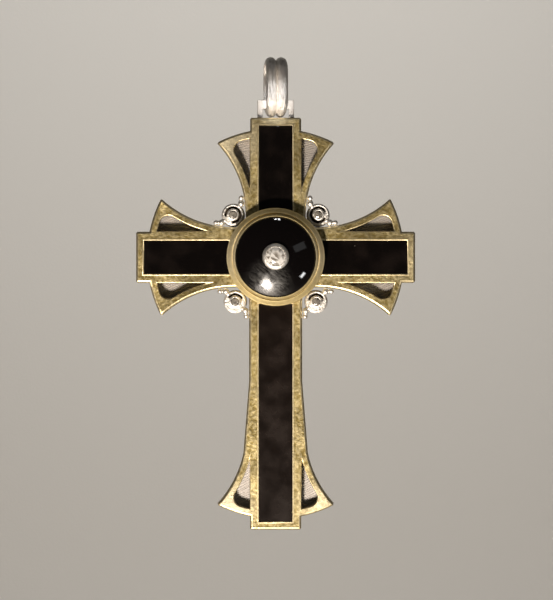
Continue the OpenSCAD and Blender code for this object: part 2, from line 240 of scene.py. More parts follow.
def rubbed_gold():
    material, tree, place = start("gold_rubbed_with_abrasive")
    fine = strokes(tree, place, STROKE_PATCH, STROKE_WIDTH, STROKE_LENGTH)
    pits = add(tree, "ShaderNodeTexNoise",
               {"Vector": place, "Scale": 1 / PIT_SIZE, "Detail": 5.0})
    moved = add(tree, "ShaderNodeVectorMath", {0: place, 1: WAVES_FROM}, operation="ADD")
    waves = add(tree, "ShaderNodeTexNoise",
                {"Vector": moved, "Scale": 1 / WAVE_SIZE, "Detail": 1.0})
    share = add(tree, "ShaderNodeMapRange", {"Value": pits, "From Min": 0.38, "From Max": 0.62})
    colour = add(tree, "ShaderNodeMix",
                 {SHARE: share, FIRST: linear("#93824F"), SECOND: linear("#C9BA8D")},
                 data_type="RGBA")
    rough = add(tree, "ShaderNodeMapRange", {"Value": fine, "From Min": LOW, "From Max": HIGH,
                                             "To Min": 0.45, "To Max": 0.68})
    wavy = add(tree, "ShaderNodeBump", {"Height": waves, "Distance": WAVE_DEPTH})
    pitted = add(tree, "ShaderNodeBump",
                 {"Height": pits, "Distance": PIT_DEPTH, "Normal": wavy})
    stroked = add(tree, "ShaderNodeBump",
                  {"Height": fine, "Distance": STROKE_DEPTH, "Normal": pitted})
    # The base colour carries the painted light and painted shade of the spots
    return end(material, tree, Metallic=1.0, Roughness=rough, Normal=stroked,
               Base_Color=worn(tree, place, colour, CASE_HANDLED, CASE_TARNISHED))


RUBBED_GOLD = rubbed_gold()

# %% [markdown]
# ## The edges: gold pressed with a burnisher
#
# The edges were pressed smooth with a burnisher, a polished steel tool. It closes the
# strokes, so the edges are of the same gold but less rough than the faces, and a little
# uneven where the tool was dragged along. Their colour is painted paler than the faces, a
# painted highlight along the edges.

# %% Burnished gold
DRAG_SIZE, DRAG_DEPTH = 0.6, 0.06 * MM


def burnished_gold():
    material, tree, place = start("gold_burnished_and_painted_pale")
    drag = add(tree, "ShaderNodeTexNoise",
               {"Vector": place, "Scale": 1 / DRAG_SIZE, "Detail": 3.0})
    rough = add(tree, "ShaderNodeMapRange", {"Value": drag, "From Min": LOW, "From Max": HIGH,
                                             "To Min": 0.36, "To Max": 0.54})
    bump = add(tree, "ShaderNodeBump", {"Height": drag, "Distance": DRAG_DEPTH})
    # A pale cream base colour: a painted highlight along the edges
    return end(material, tree, Base_Color=linear("#EFDFB4"), Metallic=1.0, Roughness=rough,
               Normal=bump)


BURNISHED_GOLD = burnished_gold()

# %% [markdown]
# ## The bezel: gold turned and worn
#
# The bezel was turned and polished, and has lost its polish since: it stands in front of
# the rest, so everything rubs against it. Dirt in its fine scratches scatters a part of
# the light as paint does, so it is a little less than fully metallic and quite rough. Its
# two sides are painted paler, as painted light, and its top and bottom darker, as painted
# shade.

# %% Turned gold
# Painted light on the bezel's left and right sides, and painted shade at its bottom and top
RING_HANDLED = [(-11.0, 1.0, 9.0, 0.35), (11.0, 1.0, 9.0, 0.35)]
RING_TARNISHED = [(0.0, -11.5, 8.0, 0.2), (3.0, 11.5, 8.0, 0.25)]
WEAR_SIZE, WEAR_DEPTH = 0.9, 0.1 * MM


def turned_gold():
    material, tree, place = start("gold_turned_and_worn")
    wear = add(tree, "ShaderNodeTexNoise",
               {"Vector": place, "Scale": 1 / WEAR_SIZE, "Detail": 4.0})
    colour = add(tree, "ShaderNodeMix",
                 {SHARE: wear, FIRST: linear("#BEA96D"), SECOND: linear("#E4D5A8")},
                 data_type="RGBA")
    bump = add(tree, "ShaderNodeBump", {"Height": wear, "Distance": WEAR_DEPTH})
    # The base colour carries the painted light and painted shade of the spots
    return end(material, tree, Metallic=0.85, Roughness=0.64, Normal=bump,
               Base_Color=worn(tree, place, colour, RING_HANDLED, RING_TARNISHED))


TURNED_GOLD = turned_gold()

# %% [markdown]
# ## The back plate: silver left matt
#
# The back plate is fine silver that was left white and matt from the pickle, the acid bath
# that cleans silver after soldering, with the grain of fine emery paper. The grain is drawn
# much coarser than it is, so that it shows.

# %% Matt silver
GRAIN_PATCH, GRAIN_WIDTH, GRAIN_LENGTH, GRAIN_DEPTH = 3.0, 0.16, 1.2, 0.03 * MM


def matt_silver():
    material, tree, place = start("silver_matt_from_emery")
    grain = strokes(tree, place, GRAIN_PATCH, GRAIN_WIDTH, GRAIN_LENGTH)
    shade = add(tree, "ShaderNodeMix",
                {SHARE: grain, FIRST: linear("#BEB7B0"), SECOND: linear("#DCD7D1")},
                data_type="RGBA")
    bump = add(tree, "ShaderNodeBump", {"Height": grain, "Distance": GRAIN_DEPTH})
    return end(material, tree, Base_Color=shade.outputs[MIXED], Metallic=1.0, Roughness=0.55,
               Normal=bump)


MATT_SILVER = matt_silver()

# %% [markdown]
# ## The bail: silver polished and worn
#
# The bail was polished once and then scratched by years of wear, mostly along its length.
# The scratches are noise with many wiggles across the bail and few along it. They are
# drawn as coarse as it takes to break the light on the ridges into upright streaks.

# %% Bright silver
SCRATCHES_PER_MM = (3.6, 2.0, 0.3)
SCRATCH_DEPTH = 0.4 * MM


def bright_silver():
    material, tree, place = start("silver_polished_and_worn")
    long_scratches = add(tree, "ShaderNodeVectorMath", {0: place, 1: SCRATCHES_PER_MM},
                         operation="MULTIPLY")
    wear = add(tree, "ShaderNodeTexNoise",
               {"Vector": long_scratches, "Scale": 1.0, "Detail": 4.0, "Roughness": 0.6})
    rough = add(tree, "ShaderNodeMapRange", {"Value": wear, "From Min": LOW, "From Max": HIGH,
                                             "To Min": 0.36, "To Max": 0.56})
    bump = add(tree, "ShaderNodeBump", {"Height": wear, "Distance": SCRATCH_DEPTH})
    return end(material, tree, Base_Color=linear("#F1ECE6"), Metallic=1.0, Roughness=rough,
               Normal=bump)


BRIGHT_SILVER = bright_silver()

# %% [markdown]
# ## The settings: silver burnished by hand
#
# The rims, wires and granules of the settings were rubbed bright by hand. They are the
# whitest metal on the cross, but dented all over at a scale of half a millimetre, so they
# throw back many small lights instead of one clean reflection.

# %% Burnished silver
DENT_SIZE, DENT_DEPTH = 0.6, 0.16 * MM


def rim_silver():
    material, tree, place = start("silver_burnished_rims")
    dents = add(tree, "ShaderNodeTexNoise",
                {"Vector": place, "Scale": 1 / DENT_SIZE, "Detail": 3.0})
    bump = add(tree, "ShaderNodeBump", {"Height": dents, "Distance": DENT_DEPTH})
    return end(material, tree, Base_Color=linear("#FBF7F0"), Metallic=1.0, Roughness=0.5,
               Normal=bump)


RIM_SILVER = rim_silver()

# %% [markdown]
# ## The gaps: silver dark with tarnish and painted shade
#
# No cloth reaches the narrow gap between the tube of a corner setting and its ring of
# wire, so the silver has tarnished there, and the gap is also where shade falls. Both are
# painted as one blotchy brownish black: tarnish and painted shade. It is still metal, only
# with a dark colour.

# %% Tarnished silver with painted shade
BLOTCH_SIZE = 0.5


def tarnish():
    material, tree, place = start("silver_tarnish_and_painted_shade_in_gaps")
    blotches = add(tree, "ShaderNodeTexNoise",
                   {"Vector": place, "Scale": 1 / BLOTCH_SIZE, "Detail": 3.0})
    # Brownish black: tarnish and painted shade in the gap
    colour = add(tree, "ShaderNodeMix",
                 {SHARE: blotches, FIRST: linear("#2A231D"), SECOND: linear("#6E6154")},
                 data_type="RGBA")
    return end(material, tree, Base_Color=colour.outputs[MIXED], Metallic=1.0, Roughness=0.6)


TARNISH = tarnish()

# %% [markdown]
# ## The slabs: polished onyx
#
# Onyx is a dyed chalcedony with an IOR of 1.54, and takes a glassy polish. It is so dark
# that what shows is its gloss: reflections, a haze of handling, faint brown clouds under
# the surface, and a few light specks of dust up to a fifth of a millimetre across. The
# foot is where a hand takes hold of the cross, so its slab is browner and hazier.

# %% Onyx of the slabs
ONYX_IOR = 1.54
CLOUD_SIZE = 5
# Specks lie about this far apart, and reach this share of it round their middles
SPECK_SPACING, SPECK_SHARE = 3.4, 0.03


def slab_onyx(name, black, cloud, least, most):
    """Onyx of two colours, whose roughness drifts between the least and the most."""
    material, tree, place = start(name)
    clouds = add(tree, "ShaderNodeTexNoise",
                 {"Vector": place, "Scale": 1 / CLOUD_SIZE, "Detail": 6.0})
    cloudy = add(tree, "ShaderNodeMapRange",
                 {"Value": clouds, "From Min": 0.45, "From Max": 0.8})
    body = add(tree, "ShaderNodeMix",
               {SHARE: cloudy, FIRST: linear(black), SECOND: linear(cloud)}, data_type="RGBA")
    dots = add(tree, "ShaderNodeTexVoronoi", {"Vector": place, "Scale": 1 / SPECK_SPACING})
    speck = add(tree, "ShaderNodeMath", {0: dots.outputs["Distance"], 1: SPECK_SHARE},
                operation="LESS_THAN")
    colour = add(tree, "ShaderNodeMix",
                 {SHARE: speck, FIRST: body.outputs[MIXED], SECOND: linear("#8F8A80")},
                 data_type="RGBA")
    haze = add(tree, "ShaderNodeMapRange", {"Value": clouds, "From Min": 0.4, "From Max": 0.7,
                                            "To Min": least, "To Max": most})
    return end(material, tree, Base_Color=colour.outputs[MIXED], IOR=ONYX_IOR, Roughness=haze)


SLAB_ONYX = slab_onyx("onyx_polished_slab", "#0C0908", "#1C1613", 0.09, 0.18)
FOOT_ONYX = slab_onyx("onyx_handled_slab", "#160F0B", "#261C16", 0.2, 0.3)

# %% [markdown]
# ## The dome: onyx wiped with a greasy finger
#
# The domed onyx is touched more than anything else on the cross. Its polish is still
# glassy, and a clear coat over it shows that as sharp reflections. Under the coat, grease
# roughens the surface in patches round one place at its lower left, which spreads the
# reflection of the main light into a glow. Round the same place a grey is painted in
# curved streaks, a painted glow that stands in for that reflection spreading through the
# grease. Both fade out a few millimetres from that place.

# %% Where the dome is greasy and its glow is painted
WIPED_ACROSS, WIPED_UP = -1.7, -6.2
WIPED_CORE, WIPED_REACH = 1.5, 6.8
WIPE_SLANT = math.radians(-35)
# Few wiggles along the streaks and many across them
STREAKS_PER_MM = (0.5, 1.0, 2.6)
DRIFT_SIZE = 3.5


def grease(tree, place, near):
    """How rough the grease makes the dome: patches within patches, fading outwards."""
    smears = strokes(tree, place, patch=1.3, across=0.28, along=1.8)
    patchy = add(tree, "ShaderNodeMapRange",
                 {"Value": smears, "From Min": LOW, "From Max": HIGH, "To Min": 0.5})
    drift = add(tree, "ShaderNodeTexNoise",
                {"Vector": place, "Scale": 1 / DRIFT_SIZE, "Detail": 2.0})
    cloudy = add(tree, "ShaderNodeMapRange",
                 {"Value": drift, "From Min": 0.35, "From Max": 0.6, "To Min": 0.3})
    smeared = add(tree, "ShaderNodeMath", {0: near, 1: patchy}, operation="MULTIPLY")
    amount = add(tree, "ShaderNodeMath", {0: smeared, 1: cloudy}, operation="MULTIPLY")
    return add(tree, "ShaderNodeMapRange", {"Value": amount, "To Min": 0.03, "To Max": 0.45})


def film(tree, place, near):
    """The black of the onyx with a painted glow: grey in curved streaks round the main light's
    reflection.
    """
    turn = add(tree, "ShaderNodeVectorRotate",
               {"Vector": place, "Axis": (0.0, 1.0, 0.0), "Angle": WIPE_SLANT})
    wipe = add(tree, "ShaderNodeVectorMath", {0: turn, 1: STREAKS_PER_MM},
               operation="MULTIPLY")
    wiped = add(tree, "ShaderNodeTexNoise",
                {"Vector": wipe, "Scale": 1.0, "Detail": 5.0, "Distortion": 1.5})
    streaks = add(tree, "ShaderNodeMapRange",
                  {"Value": wiped, "From Min": 0.38, "From Max": 0.72})
    share = add(tree, "ShaderNodeMath", {0: near, 1: streaks}, operation="MULTIPLY")
    # The grey is a painted glow, standing in for the main light's reflection spread by grease
    colour = add(tree, "ShaderNodeMix",
                 {SHARE: share, FIRST: linear("#0B0808"), SECOND: linear("#5E5D5A")},
                 data_type="RGBA")
    return colour.outputs[MIXED]


# %% Onyx of the dome
FINE_SCRATCH_DEPTH = 0.003 * MM


def dome_onyx():
    material, tree, place = start("onyx_polished_dome")
    near = add(tree, "ShaderNodeMapRange",
               {"Value": front_distance(tree, place, WIPED_ACROSS, WIPED_UP),
                "From Min": WIPED_CORE, "From Max": WIPED_REACH,
                "To Min": 1.0, "To Max": 0.0}, interpolation_type="SMOOTHSTEP")
    scratches = strokes(tree, place, patch=1.6, across=0.1, along=2.0)
    bump = add(tree, "ShaderNodeBump", {"Height": scratches, "Distance": FINE_SCRATCH_DEPTH})
    return end(material, tree, Base_Color=film(tree, place, near), IOR=ONYX_IOR,
               Roughness=grease(tree, place, near), Coat_Weight=0.5, Coat_Roughness=0.03,
               Coat_IOR=1.5, Normal=bump)


DOME_ONYX = dome_onyx()

# %% [markdown]
# ## The stones: diamond
#
# A brilliant throws back what falls on it because diamond bends light more than anything
# else in jewellery, with an IOR of 2.417. Its facets are flat, and each one gets a painted
# glint of its own: a brightness worked out from the way it faces. These stones are old.
# Their edges are scuffed and dust lies under them, so most of the light is scattered white
# instead of passing through. The table of the large one is painted greyer than the facets
# round it, a painted dark reflection. The small ones are painted darker, as painted shade
# from their tubes, and are a little clearer.

# %% Diamond
DIAMOND_IOR = 2.417
DUST_SIZE = 0.7
LEAST_FLASH = 0.35
# The painted dark reflection in the middle of the centre stone's table
PATCH_ACROSS, PATCH_UP, PATCH_CORE, PATCH_REACH = -0.3, -0.1, 0.5, 1.3


def diamond(name, dull, bright, grey, clear):
    """Diamond with a painted glint on each facet. grey is the painted dark reflection in the
    middle, and clear is how much it lets through.
    """
    material, tree, place = start(name)
    # Each facet gets a painted glint: a brightness of its own from the way it faces
    facet = add(tree, "ShaderNodeNewGeometry").outputs["True Normal"]
    flash = add(tree, "ShaderNodeTexWhiteNoise", {"Vector": facet})
    dust = add(tree, "ShaderNodeTexNoise",
               {"Vector": place, "Scale": 1 / DUST_SIZE, "Detail": 2.0})
    least = add(tree, "ShaderNodeMapRange",
                {"Value": front_distance(tree, place, PATCH_ACROSS, PATCH_UP),
                 "From Min": PATCH_CORE, "From Max": PATCH_REACH,
                 "To Min": LEAST_FLASH - grey, "To Max": LEAST_FLASH})
    mixed = add(tree, "ShaderNodeMath", {0: flash.outputs["Value"], 1: dust, 2: least},
                operation="MULTIPLY_ADD")
    share = add(tree, "ShaderNodeMapRange", {"Value": mixed, "From Min": 0.36, "From Max": 0.55})
    colour = add(tree, "ShaderNodeMix",
                 {SHARE: share, FIRST: linear(dull), SECOND: linear(bright)}, data_type="RGBA")
    return end(material, tree, Base_Color=colour.outputs[MIXED], IOR=DIAMOND_IOR,
               Roughness=0.12, Transmission_Weight=clear)


DIAMOND = diamond("diamond_brilliant_cut", "#958D82", "#FFFCF6", grey=0.12, clear=0.08)
# The small stones are painted darker: painted shade from their tubes
SMALL_DIAMOND = diamond("diamond_small_painted_darker", "#2F2B27", "#B9B2A6", grey=0.0, clear=0.3)

# %% [markdown]
# ## Tools for meshes
#
# A piece whose shape is already right in the solids starts as a copy of that solid. Its
# seams are welded and its flat faces made whole, so that real round edges can be cut on
# it. Pieces that are turned, bent or swept are skinned from rings of points instead.

# %% Copies of solids with rounded edges
WELD = 0.001 * MM
FLAT_WITHIN = math.radians(0.5)


def welded(node):
    """A copy of a solid's mesh with its seams closed and its flat faces whole."""
    bm = bmesh.new()
    bm.from_mesh(nodes[node].data)
    bmesh.ops.remove_doubles(bm, verts=bm.verts, dist=WELD)
    bmesh.ops.dissolve_limit(bm, angle_limit=FLAT_WITHIN, verts=bm.verts, edges=bm.edges)
    return bm


def sharp(bm, degrees=50, keep=lambda edge: True):
    """The edges where two faces meet at more than an angle."""
    return [e for e in bm.edges if e.calc_face_angle(0) > math.radians(degrees) and keep(e)]


def round_over(bm, edges, width, material=0):
    """Rounds edges to a width, and gives the new faces a material of the piece."""
    made = bmesh.ops.bevel(bm, geom=edges, offset=width, segments=3, profile=0.5,
                           affect="EDGES", clamp_overlap=False, loop_slide=False)
    for face in made["faces"]:
        face.material_index = material


# %% Skins from rings of points


def skin(bm, rings, closed=True, material=0):
    """Joins rings of points, each to the next, and the last to the first if closed."""
    made = [[bm.verts.new(point) for point in ring] for ring in rings]
    following = made[1:] + made[:1] if closed else made[1:]
    for ring, other in zip(made, following):
        for k in range(len(ring)):
            n = (k + 1) % len(ring)
            bm.faces.new((ring[k], ring[n], other[n], other[k])).material_index = material
    if not closed:
        bm.faces.new(made[0]).material_index = material
        bm.faces.new(made[-1]).material_index = material


def round_the_axis(steps):
    """Equal angles of a full turn."""
    return [2 * math.pi * k / steps for k in range(steps)]


def turned(bm, profile, steps, closed=True):
    """Turns a profile of radius in millimetres and depth in metres about the centre."""
    skin(bm, [[at(radius * math.cos(a), depth, radius * math.sin(a))
               for a in round_the_axis(steps)] for radius, depth in profile], closed)


# %% Finished pieces
# A face of more than four corners and above this size is flat sheet, in square metres
SHEET_AREA = 2 * MM * MM


def piece(bm, name, materials, replaces, body="cross", crease=35):
    """Makes an object of a mesh, smooths it, and lets it ride in place of its solids."""
    bmesh.ops.recalc_face_normals(bm, faces=bm.faces)
    mesh = bpy.data.meshes.new(name)
    bm.to_mesh(mesh)
    bm.free()
    for material in materials:
        mesh.materials.append(material)
    mesh.polygons.foreach_set("use_smooth", [True] * len(mesh.polygons))
    mesh.set_sharp_from_angle(angle=math.radians(crease))
    for polygon in mesh.polygons:
        if polygon.loop_total > 4 and polygon.area > SHEET_AREA:
            polygon.use_smooth = False
    made = bpy.data.objects.new(name, mesh)
    bpy.context.scene.collection.objects.link(made)
    # Flat faces keep flat normals beside their rounded edges
    made.modifiers.new("flat faces", "WEIGHTED_NORMAL").keep_sharp = True
    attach(made, body)
    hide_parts(*replaces)
    print(name, len(mesh.vertices), "vertices", len(mesh.polygons), "faces")
    return made


# %% [markdown]
# ## The gold case
#
# The case was sawn from sheet, and each edge was then treated by what it does. The outer
# edges were filed round and burnished, and so were the upright corners of arms and wings.
# The edges of the drop-shaped piercings were eased a little less. Round each slab stands a
# thin lip, pushed over to hold the stone, which catches light from every side. The loops
# of edges on the front face are told apart by their size and by where they lie.

# %% Loops of edges on the front face
SLABS = ["top_onyx", "left_onyx", "right_onyx", "foot_onyx"]


def loops(edges):
    """Groups edges that touch into loops."""
    left = set(edges)
    found = []
    while left:
        loop, waiting = [], [left.pop()]
        while waiting:
            edge = waiting.pop()
            loop.append(edge)
            near = {e for v in edge.verts for e in v.link_edges} & left
            left -= near
            waiting.extend(near)
        found.append(loop)
    return found


def upright(edge):
    """Whether an edge runs straight from the front to the back."""
    a, b = (v.co for v in edge.verts)
    return (a.xz - b.xz).length < WELD


def reach_of(loop):
    """The size of a loop's box, and its middle, in millimetres from the centre."""
    points = [v.co for e in loop for v in e.verts]
    xs = [(p.x - CENTRE.x) / MM for p in points]
    zs = [(p.z - CENTRE.z) / MM for p in points]
    size = Vector((max(xs) - min(xs), max(zs) - min(zs)))
    middle = Vector((max(xs) + min(xs), max(zs) + min(zs))) / 2
    return size, middle


# %% The lip round a slab
LIP_BEAD, LIP_RISE, LIP_OUT, LIP_SUNK = 0.2, 0.09, 0.22, 0.02
LIP_POINTS = 7


def lip(bm, node, material):
    """A low round bead along the edge of the slot that holds a slab."""
    low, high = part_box(node)
    corners = [(low.x, low.z, -1, -1), (high.x, low.z, 1, -1),
               (high.x, high.z, 1, 1), (low.x, high.z, -1, 1)]
    rings = []
    for x, z, x_side, z_side in corners:
        ring = []
        for k in range(LIP_POINTS):
            angle = math.pi * k / (LIP_POINTS - 1)
            aside = (LIP_OUT + LIP_BEAD * math.cos(angle)) * MM
            front = FACE + LIP_RISE * math.sin(angle) * MM - LIP_SUNK * MM
            ring.append((x + x_side * aside, -front, z + z_side * aside))
        rings.append(ring)
    skin(bm, rings, True, material)


# %% The case with its edges finished
ROUNDS = {"outer": 0.55 * MM, "piercing": 0.22 * MM, "slot": 0.1 * MM}
TIP_ANGLE, TIP_HEIGHT = 60, 2 * MM
# The outline is longer than this, and a slot's middle is this close to an arm's middle
OUTLINE_LENGTH, ON_ARM = 60, 1


def gold_case():
    bm = welded("gold_frame")
    tips = sharp(bm, TIP_ANGLE, lambda e: (e.is_convex and upright(e)
                                           and e.calc_length() > TIP_HEIGHT))
    front = sharp(bm, keep=lambda e: all(abs(v.co.y + FACE) < WELD for v in e.verts))
    kinds = {kind: [] for kind in ROUNDS}
    for loop in loops(front):
        size, middle = reach_of(loop)
        if max(size) > OUTLINE_LENGTH:
            kinds["outer"].append(loop)
        elif abs(middle.x) < ON_ARM or abs(middle.y) < ON_ARM:
            kinds["slot"].append(loop)
        else:
            kinds["piercing"].append(loop)
    print({kind: len(found) for kind, found in kinds.items()}, "tips", len(tips))
    kinds["outer"].append(tips)
    for kind, width in ROUNDS.items():
        round_over(bm, [e for loop in kinds[kind] for e in loop], width, 1)
    for node in SLABS:
        lip(bm, node, 1)
    return piece(bm, "gold_case", [RUBBED_GOLD, BURNISHED_GOLD], ["gold_frame"])


gold_case()

# %% [markdown]
# ## The hatching under the piercings
#
# Under each piercing the silver plate was hatched with a graver: short slanting cuts half
# a millimetre apart, which keep it pale against the gold. The strips that are left between
# the cuts are modelled, because at this size a cut is deep enough to hold shadow. A ray
# from the plate towards the front tells if a point lies in a hollow of the case, so the
# strips end where the gold begins.

# %% One strip between graver cuts
HATCH_WIDTH = 0.34
HATCH_RISE = 0.15 * MM
HATCH_BOW = 0.08
HATCH_CREST = 0.6
HATCH_UNEVEN = (0.9, 1.1)
STRIP_ENDS = 0.55
STRIP_RINGS = 6


def strip(bm, first, last, aside, rng):
    """A low ridge from one point of the plate to another, bowed and uneven as cut by hand."""
    bow = rng.uniform(-HATCH_BOW, HATCH_BOW)
    rings = []
    for k in range(STRIP_RINGS):
        share = k / (STRIP_RINGS - 1)
        spot = first.lerp(last, share) + aside * bow * math.sin(math.pi * share)
        end_share = STRIP_ENDS if k in (0, STRIP_RINGS - 1) else 1.0
        width = HATCH_WIDTH / 2 * end_share * rng.uniform(*HATCH_UNEVEN)
        foot, crest = spot - aside * width, spot - aside * width * HATCH_CREST
        far_crest, far_foot = spot + aside * width * HATCH_CREST, spot + aside * width
        rings.append([at(foot.x, PLATE_FRONT, foot.y),
                      at(crest.x, PLATE_FRONT + HATCH_RISE, crest.y),
                      at(far_crest.x, PLATE_FRONT + HATCH_RISE, far_crest.y),
                      at(far_foot.x, PLATE_FRONT, far_foot.y)])
    skin(bm, rings, closed=False)


# %% Strips over a hollow
HATCH_SPACING = 0.52
HATCH_JITTER = 0.12
SAMPLE_STEP = 0.1
SAMPLES = 90
# A row with fewer samples than this in the hollow gets no strip, and a strip stops this
# many samples before the hollow's wall
FEWEST_SAMPLES, SAMPLES_CLEAR = 8, 2
ABOVE_PLATE, PLATE_WITHIN = 0.02 * MM, 0.2 * MM


def in_hollow(case, plate, point):
    """Whether a point has the plate right behind it and no gold in front of it."""
    gold = case.ray_cast(point, Vector((0, -1, 0)))[0]
    silver = plate.ray_cast(point, Vector((0, 1, 0)), PLATE_WITHIN)[0]
    return gold is None and silver is not None


def hatch(bm, case, plate, middle, reach, slant, rng):
    """Slanting strips over the hollow round a middle point, as far as it reaches."""
    along = Vector((math.cos(slant), math.sin(slant)))
    aside = Vector((-along.y, along.x))
    count = int(reach / HATCH_SPACING)
    made = 0
    for row in range(-count, count + 1):
        offset = (row + rng.uniform(-HATCH_JITTER, HATCH_JITTER)) * HATCH_SPACING
        samples = [middle + aside * offset + along * SAMPLE_STEP * k
                   for k in range(-SAMPLES, SAMPLES + 1)]
        inside = [s for s in samples
                  if (s - middle).length < reach
                  and in_hollow(case, plate, at(s.x, PLATE_FRONT + ABOVE_PLATE, s.y))]
        if len(inside) >= FEWEST_SAMPLES:
            strip(bm, inside[SAMPLES_CLEAR], inside[-1 - SAMPLES_CLEAR], aside, rng)
            made += 1
    return made


# %% [markdown]
# ## The silver back plate
#
# The plate is one sheet with a lug at its top and a round disc behind each corner setting.
# Its back was left plain. Only its edges were broken, by a tenth of a millimetre, which is
# enough for a thin line of light.

# %% Back plate
PLATE_EDGE_ANGLE, PLATE_ROUND = 60, 0.1 * MM
# Each arm's turn, how far out its piercings lie from their usual place, and its slant
ARMS = {"top": (0, 0.0, 14), "left": (90, 0.0, 24), "foot": (180, 32.3, 28),
        "right": (270, 0.0, 24)}
WINDOW_ASIDE, WINDOW_ALONG, WINDOW_REACH = 8.2, 22.5, 7.6
HATCH_SEED = 11


def back_plate():
    gold = welded("gold_frame")
    case = BVHTree.FromBMesh(gold)
    gold.free()
    bm = welded("back_plate")
    plate = BVHTree.FromBMesh(bm)
    round_over(bm, sharp(bm, PLATE_EDGE_ANGLE), PLATE_ROUND)
    rng = random.Random(HATCH_SEED)
    strips = dict.fromkeys(ARMS, 0)
    for arm, (turn, farther, slant) in ARMS.items():
        for side in (-1, 1):
            window = Vector((side * WINDOW_ASIDE, farther + WINDOW_ALONG))
            window.rotate(Matrix.Rotation(math.radians(turn), 2))
            strips[arm] += hatch(bm, case, plate, window, WINDOW_REACH, math.radians(slant),
                                 rng)
    print("strips", strips)
    return piece(bm, "silver_back_plate", [MATT_SILVER], ["back_plate"])


back_plate()

# %% [markdown]
# ## The onyx slabs
#
# Each slab is a plain polished bar whose edges were ground off by a hair so that they
# would not chip, which gives it a thin bright outline where the light grazes it.

# %% Slabs
SLAB_ROUND = 0.15 * MM


def slab(node):
    bm = welded(node)
    round_over(bm, sharp(bm), SLAB_ROUND)
    onyx = FOOT_ONYX if node == "foot_onyx" else SLAB_ONYX
    return piece(bm, node.replace("onyx", "slab"), [onyx], [node])


for node in SLABS:
    slab(node)

# %% [markdown]
# ## The bezel
#
# The bezel was turned on a lathe, so it is made the same way here, by turning a profile
# about the centre. From the outside inwards: an upright wall, a sloping band, a narrow
# groove, and a lip that was rubbed down over the stone. The band is steep enough to look
# dark above and bright below, as it faces away from the light or towards it.

# %% Bezel
# Radius of the stone's widest part, and depth of the seat that it rests on
DOME_GIRDLE_R = 9.9
DOME_SEAT = FACE + 0.95 * MM
SEAT_WIDTH = 1
SEAT_WALL_DOWN = 0.6
BEZEL_R = 11.85
# Radius, and how far it lies below the crest
BEZEL_FRONT = [(11.85, 1.8), (11.83, 1.66), (11.75, 1.56), (11.65, 1.52), (11.56, 1.48),
               (11.46, 1.36), (11.2, 1.14), (10.9, 0.9), (10.7, 0.74), (10.62, 0.72),
               (10.58, 0.98), (10.38, 0.98), (10.32, 0.5), (10.2, 0.36), (10.02, 0.16),
               (9.9, 0.05), (9.8, 0.0), (9.73, 0.05), (9.7, 0.14)]
FINE_TURN = 160


def bezel():
    bm = bmesh.new()
    base = FACE + GAP * MM
    seat_r = DOME_GIRDLE_R + GAP
    profile = [(BEZEL_R, base)] + [(r, BEZEL_TOP - down * MM) for r, down in BEZEL_FRONT]
    profile += [(seat_r, BEZEL_TOP - SEAT_WALL_DOWN * MM), (seat_r, DOME_SEAT),
                (seat_r - SEAT_WIDTH, DOME_SEAT), (seat_r - SEAT_WIDTH, base)]
    turned(bm, profile, FINE_TURN)
    return piece(bm, "stepped_bezel", [TURNED_GOLD], ["bezel"])


bezel()

# %% [markdown]
# ## The domed onyx
#
# The dome is a cabochon, a slice of a sphere of about 21 mm radius, with an upright edge
# and a hole drilled through it for the centre setting. It is skinned again with fine
# rings, because a polished black surface shows every facet in its reflections.

# %% Dome
# Where the crown meets the edge, how far that is below its top, and the height of the edge
DOME_EDGE_R, CROWN_DROP, EDGE_DROP = 9.5, 2.3, 0.6
SPHERE_R = (DOME_EDGE_R ** 2 + CROWN_DROP ** 2) / (2 * CROWN_DROP)
COLLAR_HOLE_R, PEG_HOLE_R = 3.25, 1.55
COLLAR_HOLE_FLOOR = DOME_TOP - 0.9 * MM
CROWN_RINGS = 33


def dome():
    bm = bmesh.new()
    crown = []
    for k in range(CROWN_RINGS):
        radius = COLLAR_HOLE_R + (DOME_EDGE_R - COLLAR_HOLE_R) * k / (CROWN_RINGS - 1)
        depth = DOME_TOP / MM - SPHERE_R + math.sqrt(SPHERE_R ** 2 - radius ** 2)
        crown.append((radius, depth * MM))
    girdle = DOME_TOP - (CROWN_DROP + EDGE_DROP) * MM
    base = DOME_SEAT + GAP * MM
    profile = crown + [(DOME_GIRDLE_R, girdle), (DOME_GIRDLE_R, base), (PEG_HOLE_R, base),
                       (PEG_HOLE_R, COLLAR_HOLE_FLOOR), (COLLAR_HOLE_R, COLLAR_HOLE_FLOOR)]
    turned(bm, profile, FINE_TURN)
    print("dome's sphere", round(SPHERE_R, 1), "mm")
    return piece(bm, "onyx_cabochon", [DOME_ONYX], ["onyx_dome"])


dome()

# %% [markdown]
# ## The centre setting
#
# A collar of silver stands in the middle of the dome. It starts as a tube, and its upper
# edge was rubbed over the girdle of a 4.7 mm brilliant with a burnisher, so its outside
# rounds over to a narrow rim round the stone. A peg goes through the dome to the back.

# %% Centre setting
# Radius, and height above the top of the dome
COLLAR_OUTSIDE = [(3.2, -0.85), (3.2, 0.14), (3.18, 0.3), (3.12, 0.44), (3.02, 0.55),
                  (2.88, 0.65), (2.72, 0.75), (2.58, 0.82)]
COLLAR_RIM = [(2.5, 0.87), (2.45, 0.88), (2.42, 0.85), (2.41, 0.8), (2.4, 0.72)]
COLLAR_INSIDE = [(2.4, 0.51), (0.94, -0.76), (0.94, -1.58)]
COLLAR_FLOOR = 0.85
PEG_R = 1.5
PEG_END = -1.05 * MM
COARSE_TURN = 96


